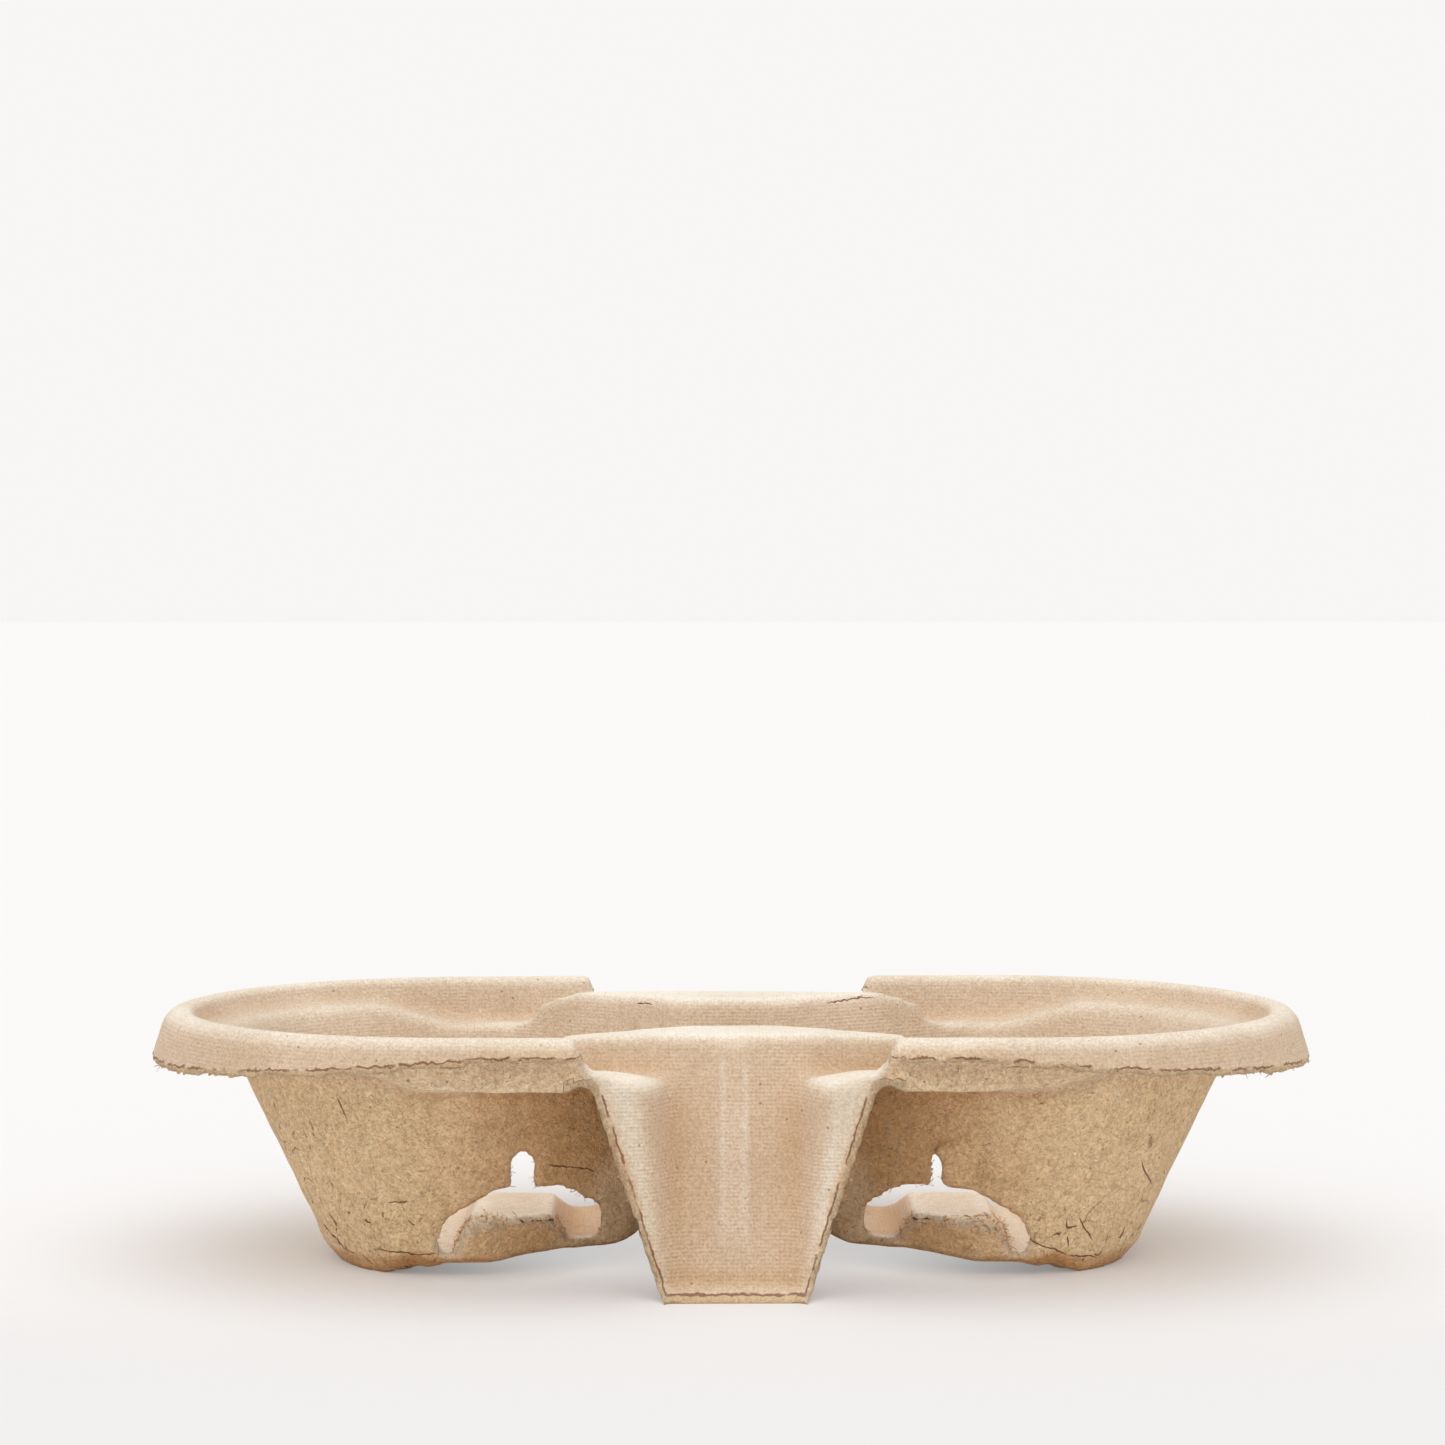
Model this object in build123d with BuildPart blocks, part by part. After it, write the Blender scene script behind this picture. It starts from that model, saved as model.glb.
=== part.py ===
import os
from math import cos, radians, tan

from build123d import *

# A one-piece moulded pulp carrier for two cups. Millimetres, +Z up, +X along the length.
# The origin is on the table, midway between the two cup wells.

# Sheet
sheet = 2.0  # thickness of the moulded wall
release = 18.0  # degrees, release angle of ridges, legs and the inside of the rim
below_table = 4.0  # how far the two mould forms run on under the table before trimming

# Rim, a hollow rolled edge round both wells
rim_height = 46.8  # crest above the table
rim_outer = 54.4  # from a well's centre line to the outer corner of the crest
rim_width = 4.8  # across the crest, corner to corner
rim_round = 1.7  # bevel of the outer corner, whose own corners are eased by a third of it
rim_bevel = 1.3  # bevel of the inner corner
skirt_flare = 18.0  # degrees the skirt leans out all round
skirt_drop_middle = 4.6  # from the crest down to the skirt's trimmed edge beside the legs
skirt_drop_corner = 8.2  # at the four corners
skirt_drop_end = 10.0  # and at the ends
skirt_level_run = 44.0  # the trimmed edge is level this far from the middle
skirt_corner_run = 88.0  # where the corners are
trim_clearance = 0.8  # the trimming die works outside the inner corner, less this
rim_inner = rim_outer - rim_width

# Decks inside the rim, each by its drop from the crest
cup_pitch = 104.0  # distance between the centres of the two wells at the top
ledge_height = rim_height - 3.8  # high ledge round the outer half of each well
deck_height = rim_height - 8.3  # low deck beside the legs
saddle_height = rim_height - 13.8  # floor of the pocket between the two wells
ledge_start = 71.0  # the high ledge begins to fall here, measured from the middle
ledge_fall = 15.0  # and reaches the low deck after this run

# Cup wells: round at the top, a rounded rectangle at the bottom, leaning towards the middle
ledge_width = 6.1  # from the rim's inner corner to the mouth of a well
well_low = 2.0  # height of the deepest inside floor
well_lean = 3.8  # how much nearer the middle the bottom's centre lies than the top's
well_low_length = 56.2
well_low_width = 51.6
well_low_round = 22.0
well_flat = 0.4  # half of the straight run that is left on each side of the circle
well_draft = 24.0  # degrees the wall leans, for the wall's level thickness
floor_bevel = 3.6  # inside bevel between floor and wall
floor_bevel_growth = 1.6  # how much larger the bevel is on the outside of the sheet
well_radius = rim_inner - ledge_width
well_top = ledge_height + sheet
well_low_centre = cup_pitch / 2 - well_lean

# Floor of a well, from its outer pad to the hump and the inner end
pad_end = 62.0
floor_start = 52.5
floor_height = 5.5
hump_outer = 51.0
hump_inner = 30.5
hump_rise = 5.3
hump_slope = 3.2  # length of each flank
hump_hollow = 38.0  # length of the hollow under the hump, across the carrier
fall_start = 0.0  # behind this line floor and hump slope down to the foot of the rear wall
hump_height = floor_height + hump_rise
fall_end = well_low_width / 2

# Slots through the front and rear wall of each well
slot_outer = 54.0
slot_inner = 24.5
slot_open = 5.8  # clear height over the hump
slot_shoulder_drop = 3.4
slot_sill = 0.4  # wall left standing above the floor
slit_centre = 38.6
slit_width = 4.6
slit_rise = 6.8  # height of the slit above the slot
slot_top = hump_height + slot_open
slot_shoulder = slot_top - slot_shoulder_drop
slit_top = slot_top + slit_rise

# Bridge ridges in front of and behind the pocket
ridge_height = rim_height - 1.4
ridge_outer = 36.0  # outer edge of the flat top, from the middle
ridge_width = 15.5  # width of the flat top where it is widest
ridge_widest = 8.0  # half-length of its inner edge there
ridge_taper = 27.0  # length of each slanting inner edge, along the carrier
ridge_round = 2.4
ridge_inner = ridge_outer - ridge_width
ridge_tip = ridge_widest + ridge_taper

# Legs in front and behind, each a drafted chute from the ridge to the table
leg_gap_crest = 28.5  # half-width of the gap in the rim at its crest
leg_top_half = 25.4  # half-width at deck level
leg_foot_half = 13.2  # half-width at the table
leg_panel_top = 10.8  # half-width of the sunk panel at deck level
leg_panel_foot = 10.6
leg_flank_slope = 4.9  # level run from the panel to the full flank at deck level
leg_flank_slope_foot = 1.4
leg_flank_reach = rim_inner - 0.2  # how far forward the flanks stand at deck level
leg_foot_spread = 1.6  # how much further forward the foot's corners stand
leg_panel_foot_dish = 0.8  # depth of the sunk panel at the foot
lip_height = 3.0  # small lip turned out at the foot
lip_reach = 1.6
rib_half = 2.6  # half-width of the rib down the middle of the leg
rib_rise = 0.7
rib_low = 5.0  # the rib fades out at this height
rib_fade = 8.0
leg_lap = 0.4  # the side edges run this far into the ends of the rim at deck level
leg_foot_reach = leg_flank_reach + leg_foot_spread
leg_panel_foot_reach = leg_foot_reach - leg_panel_foot_dish
gap_start = ridge_outer - sheet  # the gap in the rim is cut from here outwards

upright_limit = 0.5  # a face whose normal rises less than this stands upright
front_and_rear = (-1, 1)
left_and_right = (-1, 1)


def level_thickness(lean):
    """Thickness of the sheet measured level, through a wall leaning this many degrees."""
    return sheet / cos(radians(lean))


def upright_faces(block):
    """Faces of a straight-sided block that stand upright."""
    return block.faces().filter_by(lambda face: abs(face.normal_at().Z) < upright_limit)


def mirrored_block(points, start, end):
    """A front-view outline with its left-hand twin, run along Y from start to end."""
    with BuildPart() as block:
        with BuildSketch(Plane.XZ.offset(-start)):
            for side in left_and_right:
                with BuildLine():
                    Polyline([(side * x, z) for x, z in points], close=True)
                make_face()
        extrude(amount=start - end)
    return block.part


def rim_form(depth):
    """Solid under the rim and decks. A depth of zero gives the upper mould face."""
    side = level_thickness(release) if depth else 0
    crest = rim_height - depth
    deck = deck_height - depth
    ledge = ledge_height - depth

    outer = rim_outer + depth * tan(radians(skirt_flare)) - side
    inner = rim_inner - (rim_height - deck) * tan(radians(release)) + side

    with BuildPart() as pocket:
        with BuildSketch(Plane.XY.offset(deck)):
            SlotCenterToCenter(cup_pitch, 2 * inner)
        extrude(amount=crest - deck, taper=-release)
        far = 2 * cup_pitch
        slope = [(ledge_start - ledge_fall, deck), (ledge_start, ledge), (far, ledge), (far, deck)]
        add(mirrored_block(slope, -cup_pitch, cup_pitch), mode=Mode.SUBTRACT)

    low = rim_height - skirt_drop_end - below_table
    with BuildPart() as form:
        with BuildSketch(Plane.XY.offset(crest)):
            SlotCenterToCenter(cup_pitch, 2 * outer)
        extrude(amount=low - crest, taper=-skirt_flare)
        with BuildSketch(Plane.XY.offset(low)):
            SlotCenterToCenter(cup_pitch, 2 * (rim_inner - trim_clearance) + side)
        extrude(amount=-low - below_table)
        add(pocket.part, mode=Mode.SUBTRACT)
        if not depth:
            inner_loop, outer_loop = form.faces().sort_by(Axis.Z)[-1].wires().sort_by(SortBy.LENGTH)
            chamfer(outer_loop.edges(), rim_round)
            chamfer(inner_loop.edges(), rim_bevel)
            outer_loop = form.faces().sort_by(Axis.Z)[-1].wires().sort_by(SortBy.LENGTH)[-1]
            lower_loop = form.edges().filter_by_position(Axis.Z, crest - rim_round, crest - rim_round / 2)
            chamfer(outer_loop.edges() + lower_loop, rim_round / 3)
    return form.part


def well_form(depth, side):
    """Space inside one cup well, for the well on the given side of the middle."""
    grow = level_thickness(well_draft) if depth else 0
    low = well_low - depth
    slide = (cup_pitch / 2 - well_low_centre) / (well_top - well_low)
    lengthen = (2 * well_radius - well_low_length) / (well_top - well_low)
    widen = (2 * well_radius - well_low_width) / (well_top - well_low)
    turn = (well_radius - well_low_round) / (well_top - well_low)

    with BuildPart() as well:
        for z in (low, well_top):
            climb = z - well_low
            centre = well_low_centre + slide * climb
            length = well_low_length + lengthen * climb + 2 * grow
            width = well_low_width + widen * climb + 2 * grow
            corner = well_low_round + turn * climb + grow
            with BuildSketch(Plane.XY.offset(z)):
                with Locations((side * centre, 0)):
                    RectangleRounded(length, width, min(corner, width / 2 - well_flat))
        loft(ruled=True)
        bevel = floor_bevel + (floor_bevel_growth if depth else 0)
        chamfer(well.faces().sort_by(Axis.Z)[0].edges(), bevel)
        add(floor_form(depth), mode=Mode.SUBTRACT)
        for end in front_and_rear:
            add(facet_form(depth, side, end), mode=Mode.SUBTRACT)
    return well.part


def floor_form(depth):
    """Solid under the floors of both wells, humps included, sloping down at the rear."""
    low = well_low - depth
    flat = floor_height - depth
    base = [
        (0, -below_table),
        (2 * cup_pitch, -below_table),
        (2 * cup_pitch, low),
        (pad_end, low),
        (floor_start, flat),
        (0, flat),
    ]
    hump_top = hump_height - depth
    hump = [
        (hump_inner, flat - sheet),
        (hump_inner, flat),
        (hump_inner + hump_slope, hump_top),
        (hump_outer - hump_slope, hump_top),
        (hump_outer, flat),
        (hump_outer, flat - sheet),
    ]
    hump_reach = hump_hollow / 2 if depth else rim_outer
    over = hump_height + sheet
    fall = [(fall_start, hump_top), (fall_end, low), (rim_outer, low), (rim_outer, over), (fall_start, over)]
    with BuildPart() as floors:
        add(mirrored_block(base, -rim_outer, rim_outer))
        add(mirrored_block(hump, -hump_reach, hump_reach))
        with BuildSketch(Plane.YZ.offset(-2 * cup_pitch)):
            with BuildLine():
                Polyline(fall, close=True)
            make_face()
        extrude(amount=4 * cup_pitch, mode=Mode.SUBTRACT)
    return floors.part


def facet_form(depth, side, end):
    """Flat that fills the inner quarter of a well, in line with the ridge's slanting edge."""
    run = Vector(ridge_tip - ridge_widest, ridge_outer - ridge_inner).normalized()
    out = Vector(-run.Y, run.X)
    shift = level_thickness(release) - depth * tan(radians(release)) if depth else 0
    near = Vector(ridge_widest, ridge_inner) + out * shift
    corners = [
        near - run * ridge_widest,
        near + run * cup_pitch,
        near + run * cup_pitch + out * rim_outer,
        near - run * ridge_widest + out * rim_outer,
    ]
    with BuildPart() as facet:
        with BuildSketch(Plane.XY.offset(ridge_height - depth)):
            with BuildLine():
                Polyline([(side * point.X, end * point.Y) for point in corners], close=True)
            make_face()
        extrude(amount=-ridge_height - below_table)
        draft(upright_faces(facet), Plane.XY.offset(ridge_height - depth), release)
    return facet.part


def ridge_form(depth, end):
    """Solid under one bridge ridge, from its top into the deck."""
    inset = level_thickness(release) - depth * tan(radians(release)) if depth else 0
    with BuildPart() as ridge:
        with BuildSketch(Plane.XY.offset(ridge_height - depth)):
            with BuildLine():
                Polyline(
                    (-ridge_tip, end * ridge_outer),
                    (ridge_tip, end * ridge_outer),
                    (ridge_widest, end * ridge_inner),
                    (-ridge_widest, end * ridge_inner),
                    close=True,
                )
            make_face()
            if depth:
                offset(amount=-inset, kind=Kind.INTERSECTION)
        extrude(amount=-(ridge_height - deck_height + sheet))
        draft(upright_faces(ridge), Plane.XY.offset(ridge_height - depth), release)
        if not depth:
            fillet(ridge.faces().sort_by(Axis.Z)[-1].edges(), ridge_round)
    return ridge.part


def saddle_form(depth):
    """Space of the pocket between the two wells, open upwards."""
    floor = saddle_height - depth
    side = level_thickness(release) if depth else 0
    low = ridge_inner - (ridge_height - floor) * tan(radians(release)) + side
    high = ridge_inner + side
    with BuildPart() as saddle:
        with BuildSketch(Plane.YZ.offset(-ridge_tip)):
            with BuildLine():
                Polyline((-low, floor), (low, floor), (high, ridge_height), (-high, ridge_height), close=True)
            make_face()
        extrude(amount=2 * ridge_tip)
    return saddle.part


def panel_reach(z):
    """How far forward the sunk panel of a leg stands at height z, above its lip."""
    deck_reach = ridge_outer + (ridge_height - deck_height) * tan(radians(release))
    return leg_panel_foot_reach + (deck_reach - leg_panel_foot_reach) * z / deck_height


def leg_outline(z, depth):
    """Front half-outline of a leg at height z: panel corner, flank corner, side edge."""
    share = z / deck_height
    inset = level_thickness(release) if depth else 0
    turned_out = lip_reach * max(0, lip_height - z) / lip_height
    panel_half = leg_panel_foot + (leg_panel_top - leg_panel_foot) * share + inset
    flank_slope = leg_flank_slope_foot + (leg_flank_slope - leg_flank_slope_foot) * share
    flank_half = panel_half + flank_slope
    flank_reach = leg_foot_reach + (leg_flank_reach - leg_foot_reach) * share + turned_out - inset
    edge_half = leg_foot_half + (leg_top_half + leg_lap - leg_foot_half) * share + 2 * inset
    return [
        (panel_half, panel_reach(z) + turned_out - inset),
        (flank_half, flank_reach),
        (edge_half, flank_reach),
    ]


def leg_form(depth, end):
    """Solid behind one leg, as far as its trimmed side edges."""
    with BuildPart() as leg:
        for z in (-below_table, lip_height, deck_height - depth):
            front = leg_outline(z, depth)
            right = [(x, end * y) for x, y in front + [(front[-1][0], ridge_inner)]]
            left = [(-x, y) for x, y in reversed(right)]
            with BuildSketch(Plane.XY.offset(z)):
                with BuildLine():
                    Polyline(right + left, close=True)
                make_face()
        loft(ruled=True)
    return leg.part


def leg_rib(end):
    """Low rib down the middle of a leg's panel."""
    top = ridge_height - ridge_round
    full = rib_low + rib_fade
    top_reach = ridge_outer + ridge_round * tan(radians(release))
    outline = [
        (panel_reach(rib_low) - rib_rise, rib_low),
        (panel_reach(rib_low), rib_low),
        (panel_reach(full) + rib_rise, full),
        (top_reach + rib_rise, top),
        (top_reach - rib_rise, top),
    ]
    with BuildPart() as rib:
        with BuildSketch(Plane.YZ.offset(-rib_half)):
            with BuildLine():
                Polyline([(end * y, z) for y, z in outline], close=True)
            make_face()
        extrude(amount=2 * rib_half)
    return rib.part


def rim_gap(depth, end):
    """Gap in the rim above one leg, and the space that the leg stands in."""
    side = level_thickness(release) if depth else 0
    lean = (leg_gap_crest - leg_top_half) / (rim_height - deck_height)
    deck = deck_height - depth
    over = rim_height + below_table
    below = [(0, -below_table), (leg_top_half, -below_table), (leg_top_half, deck), (0, deck)]
    above = [
        (0, deck),
        (leg_top_half - lean * depth + side, deck),
        (leg_gap_crest + lean * below_table + side, over),
        (0, over),
    ]
    far = rim_outer + 2 * below_table
    with BuildPart() as gap:
        for outline in (below, above):
            add(mirrored_block(outline, *sorted((end * gap_start, end * far))))
    return gap.part


def mould_face(depth):
    """Solid under the whole carrier's surface, at this depth below its upper side."""
    with BuildPart() as face:
        add(rim_form(depth))
        for end in front_and_rear:
            add(rim_gap(depth, end), mode=Mode.SUBTRACT)
            add(leg_form(depth, end))
        add(saddle_form(depth), mode=Mode.SUBTRACT)
        for side in left_and_right:
            add(well_form(depth, side), mode=Mode.SUBTRACT)
        for end in front_and_rear:
            add(ridge_form(depth, end))
            if not depth:
                add(leg_rib(end))
    return face.part


def slot_form():
    """Both wells' slots, run through the front and rear walls, above the floor and its hump."""
    low = well_low + slot_sill
    with BuildPart() as slots:
        with BuildSketch(Plane.XZ.offset(rim_outer)):
            for side in left_and_right:
                with BuildLine():
                    Polyline(
                        (side * slot_outer, low),
                        (side * slot_outer, floor_height + sheet),
                        (side * (slot_outer - sheet), slot_shoulder - sheet),
                        (side * (hump_outer - sheet), slot_shoulder),
                        (side * (slit_centre + slit_width), slot_top),
                        (side * (slit_centre - slit_width), slot_top),
                        (side * (slot_inner + slit_width), slot_shoulder + sheet),
                        (side * slot_inner, slot_shoulder - sheet),
                        (side * slot_inner, low),
                        close=True,
                    )
                make_face()
                with Locations((side * slit_centre, (slot_shoulder + slit_top) / 2)):
                    SlotOverall(slit_top - slot_shoulder, slit_width, rotation=90)
        extrude(amount=-2 * rim_outer)
        with Locations((0, 0, slot_sill)):
            add(floor_form(0), mode=Mode.SUBTRACT)
    return slots.part


def trim_form():
    """Waste outside the trimmed edge of the skirt."""
    far = 2 * cup_pitch
    waste = [
        (leg_top_half, -2 * below_table),
        (far, -2 * below_table),
        (far, rim_height - skirt_drop_end),
        (cup_pitch / 2 + rim_outer, rim_height - skirt_drop_end),
        (skirt_corner_run, rim_height - skirt_drop_corner),
        (skirt_level_run, rim_height - skirt_drop_middle),
        (leg_top_half, rim_height - skirt_drop_middle),
    ]
    with BuildPart() as trim:
        add(mirrored_block(waste, -far, far))
        with BuildSketch(Plane.XY.offset(-2 * below_table)):
            SlotCenterToCenter(cup_pitch, 2 * (rim_inner - trim_clearance))
        extrude(amount=2 * rim_height, mode=Mode.SUBTRACT)
    return trim.part


with BuildPart() as cup_carrier:
    add(mould_face(0))
    add(mould_face(sheet), mode=Mode.SUBTRACT)
    add(trim_form(), mode=Mode.SUBTRACT)
    add(slot_form(), mode=Mode.SUBTRACT)
    with BuildSketch():
        Rectangle(2 * cup_pitch, 2 * cup_pitch)
    extrude(amount=-2 * below_table, mode=Mode.SUBTRACT)

cup_carrier.part.label = "cup_carrier"
os.makedirs("parts", exist_ok=True)
export_step(cup_carrier.part, "parts/cup_carrier.step")
print("solids", len(cup_carrier.part.solids()), "valid", cup_carrier.part.is_valid)
print("volume", [round(s.volume, 1) for s in cup_carrier.part.solids()])
print(cup_carrier.part.bounding_box())
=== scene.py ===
import math
from functools import partial

import bpy
import numpy as np
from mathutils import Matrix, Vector, noise
from mathutils.bvhtree import BVHTree


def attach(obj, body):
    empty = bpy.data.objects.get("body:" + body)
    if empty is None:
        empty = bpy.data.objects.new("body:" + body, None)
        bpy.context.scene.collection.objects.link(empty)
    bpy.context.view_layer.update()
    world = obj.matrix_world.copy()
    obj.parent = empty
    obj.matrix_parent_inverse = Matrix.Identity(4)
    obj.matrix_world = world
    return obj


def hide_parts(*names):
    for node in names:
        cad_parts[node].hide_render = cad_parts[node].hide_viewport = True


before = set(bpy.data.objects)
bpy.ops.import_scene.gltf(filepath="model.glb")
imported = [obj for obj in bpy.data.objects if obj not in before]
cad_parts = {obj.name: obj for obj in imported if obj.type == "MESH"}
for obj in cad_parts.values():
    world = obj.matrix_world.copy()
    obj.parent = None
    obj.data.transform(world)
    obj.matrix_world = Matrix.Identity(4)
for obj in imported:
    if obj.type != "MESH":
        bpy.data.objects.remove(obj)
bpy.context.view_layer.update()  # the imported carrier: one node, one body

# A moulded pulp carrier for two cups on a pale table.
# Blender's units are metres; the sizes in the dictionaries are millimetres.

mm = 0.001


def perMetre(size):
    return 1 / (size * mm)


def linearColour(code):
    channels = [int(code[i:i + 2], 16) / 255 for i in (1, 3, 5)]
    linear = [c / 12.92 if c <= 0.04045 else ((c + 0.055) / 1.055) ** 2.4 for c in channels]
    return (*linear, 1.0)


def addNode(tree, kind, settings=None, inputs=(), output=0):
    # Inputs go by place or by name; output None gives all the outputs
    node = tree.nodes.new(kind)
    for name, value in (settings or {}).items():
        setattr(node, name, value)
    for socket, value in inputs.items() if isinstance(inputs, dict) else enumerate(inputs):
        if isinstance(value, bpy.types.NodeSocket):
            tree.links.new(value, node.inputs[socket])
        else:
            node.inputs[socket].default_value = value
    return node.outputs if output is None else node.outputs[output]


# Kinds of node and settings that the trees below share
maths, vectors, ramp, mix = "ShaderNodeMath", "ShaderNodeVectorMath", "ShaderNodeMapRange", "ShaderNodeMix"
plus, minus, times, timesPlus, larger, smaller, above, below, power, unsigned, sine = (
    {"operation": name} for name in (
        "ADD", "SUBTRACT", "MULTIPLY", "MULTIPLY_ADD", "MAXIMUM", "MINIMUM",
        "GREATER_THAN", "LESS_THAN", "POWER", "ABSOLUTE", "SINE"))
soft = {"interpolation_type": "SMOOTHSTEP"}
tinted = {"data_type": "RGBA"}


# Camera, lamp and surroundings

view = {
    "place": (-9.11, -696.99, 126.12),
    "pitch": 87.872,  # degrees from straight down
    "turn": -0.6127,
    "lens": 91.82,
    "sensor": 36,
    "nearest": 10,
}

light = {
    "sky": 0.62,
    "lamp": 1.5,
    "lampAngle": 100,  # degrees across, a large soft box high in front
    "lampLean": (16, -6),  # degrees towards the front and the left
    "background": "#f7f6f5",
}

table = {
    "reach": 12000,
    "paper": "#f4f2f1",
    "front": "#eae8e7",  # painted shade: it is a little darker towards the camera
    "frontFrom": (-110, 0),
    "glow": 0.18,  # share of the plain background in what the camera sees of it
    "middleGlow": 0.45,  # painted light: more of it right under the carrier, which lightens the carrier's shadow there
    "middle": (71.43, 55.56),  # half the length and depth of that place
    "middleFade": (0.35, 1.1),
}


def makeCamera():
    lens = bpy.data.cameras.new("camera")
    lens.lens = view["lens"]
    lens.sensor_width = view["sensor"]
    lens.sensor_fit = "HORIZONTAL"
    lens.clip_start = view["nearest"] * mm
    camera = bpy.data.objects.new("camera", lens)
    camera.location = [v * mm for v in view["place"]]
    camera.rotation_euler = (math.radians(view["pitch"]), 0, math.radians(view["turn"]))
    bpy.context.scene.collection.objects.link(camera)
    bpy.context.scene.camera = camera


def makeLight():
    lamp = bpy.data.lights.new("softBox", "SUN")
    lamp.energy = light["lamp"]
    lamp.angle = math.radians(light["lampAngle"])
    lampObject = bpy.data.objects.new("softBox", lamp)
    front, left = light["lampLean"]
    lampObject.rotation_euler = (math.radians(front), math.radians(left), 0)
    bpy.context.scene.collection.objects.link(lampObject)

    # The camera sees the plain background, and everything else the even light of the sky
    world = bpy.data.worlds.new("studio")
    world.use_nodes = True
    bpy.context.scene.world = world
    tree = world.node_tree
    tree.nodes.clear()
    seenDirectly = addNode(tree, "ShaderNodeLightPath", output="Is Camera Ray")
    seen = addNode(tree, "ShaderNodeBackground", None, (linearColour(light["background"]), 1.0))
    sky = addNode(tree, "ShaderNodeBackground", None, ((1, 1, 1, 1), light["sky"]))
    both = addNode(tree, "ShaderNodeMixShader", None, (seenDirectly, sky, seen))
    addNode(tree, "ShaderNodeOutputWorld", None, {"Surface": both}, None)


def makeTable():
    mesh = bpy.data.meshes.new("table")
    reach = table["reach"] * mm
    corners = [(-reach, -reach, 0), (reach, -reach, 0), (reach, reach, 0), (-reach, reach, 0)]
    mesh.from_pydata(corners, [], [(0, 1, 2, 3)])
    tableTop = bpy.data.objects.new("table", mesh)
    bpy.context.scene.collection.objects.link(tableTop)
    paper = bpy.data.materials.new("palePaper")
    paper.use_nodes = True
    tree = paper.node_tree
    tree.nodes.clear()
    add = partial(addNode, tree)
    place = add("ShaderNodeTexCoord", output="Object")
    seenDirectly = add("ShaderNodeLightPath", output="Is Camera Ray")
    oval = (perMetre(table["middle"][0]), perMetre(table["middle"][1]), 0.0)
    apart = add(vectors, {"operation": "LENGTH"}, (add(vectors, times, (place, oval)),), "Value")
    glow = add(ramp, soft, (apart, *table["middleFade"], table["glow"] + table["middleGlow"], table["glow"]))
    share = add(maths, times, (seenDirectly, glow))
    forward = add("ShaderNodeSeparateXYZ", None, (place,), "Y")
    near = add(ramp, soft, (forward, *[y * mm for y in table["frontFrom"]], 1.0, 0.0))
    tone = add(mix, tinted, {0: near, 6: linearColour(table["paper"]), 7: linearColour(table["front"])}, 2)
    matt = add("ShaderNodeBsdfDiffuse", None, (tone,))
    seen = add("ShaderNodeEmission", None, (linearColour(light["background"]), 1.0))
    both = add("ShaderNodeMixShader", None, (share, matt, seen))
    add("ShaderNodeOutputMaterial", None, {"Surface": both}, None)
    mesh.materials.append(paper)


# Carrier body

carrier = {
    "cell": 1.05,  # size of the working mesh
    "easing": 6,  # passes that round the moulded corners, each followed by one that fills them again
    "legEasing": 14,  # more rounding between the panel and flanks of each leg
    "ledgeEasing": 14,  # and of the edge between the ledge and the mouth of each well
    "ridgeEasing": 6,  # and of the slanting ends of the ridges
    "wave": 0.30,  # slow unevenness of the sheet
    "waveSize": 36,
    "lump": 0.20,  # lumps on the rough side
    "lumpSize": 4.2,
    "tear": 0.55,  # raggedness of the trimmed edges
    "tearSize": 3.2,
    "legTear": 0.10,  # the same down the sides of the legs
    "ribRise": 0.35,  # how much the rib on each leg stands out further
    "lipReach": 2.2,  # how far the torn lip at a leg's foot has spread
    "shoulderRise": 1.4,  # height of the soft shoulders at the top of each leg
    "padDrop": 2.6,  # the lowest corners of the wells have settled flat up to this height
    "padTop": 6,
    "padSpread": 0.9,
    "sag": 1.1,  # how far the lower edge has sunk between pad and hump
    "wallDrawn": (2.3, 2.3, 0.9, 0),  # how far the end walls of the wells have drawn in
    "wallHeights": (0, 4, 38, 42),  # at these heights
    "slitPinch": (0.3, 1.5),  # how far each side of a slit has closed, left well and right well
    "slitShift": (0, -1.5),
    "ridgeRib": 0.45,  # soft ribs on the inner face of each bridge ridge
    "sheet": 2.0,
    "thick": (3.2, 4.6),  # pulp that goes on for longer than the sheet is thick, as at a trimmed edge
    "probe": 12,  # how far that is looked for, and from how far below the surface
    "probeStart": 0.3,
    # How pale it is: partly where it was pressed or rubbed, and partly painted light: painted highlights on
    # crests, shoulders, flanks and ribs, and painted light in the wells, under the rim and on the far side
    "pressedAndLit": {
        "crest": 1.0, "outerCrest": 0.45, "shoulder": 0.9, "flank": 0.6, "lip": 0.6, "rib": 0.15,
        "legSide": 0.4, "wellWall": 0.22, "wellFloor": 0.57, "underRim": 0.15, "farSide": 0.22},
    "behindLegs": 0.72,  # how strongly painted shade browns the rough side between legs and wells
    "slotCracks": 0.6,  # share of the wrinkles round the slots and on the end walls of the wells
    "endCracks": 0.6,
}

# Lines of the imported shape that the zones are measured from
form = {
    "wellCentre": 52,
    "slit": 38.6,
    "legFoot": 13.2,  # half the width of a leg at the table, and how much it grows with height
    "legSpread": 12.2 / 38.5,
    "panelFoot": 11.2,
    "panelSpread": 5 / 38,
    "rimTop": 46.8,
    "skirtFrom": 52.2,  # distance from the line that joins the wells' centres
    "hemAt": (0, 44, 88, 110),  # distances from the middle, and how far the hem hangs below the rim there
    "hemDrop": (4.6, 4.6, 8.2, 10.0),
    "noHem": 9,
    # A leg's face, then with its trimmed edges: nearer the middle than this, further out, and lower
    "legBox": (30, 38, 39),
    "legEdgeBox": (31, 34, 41),
}

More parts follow.
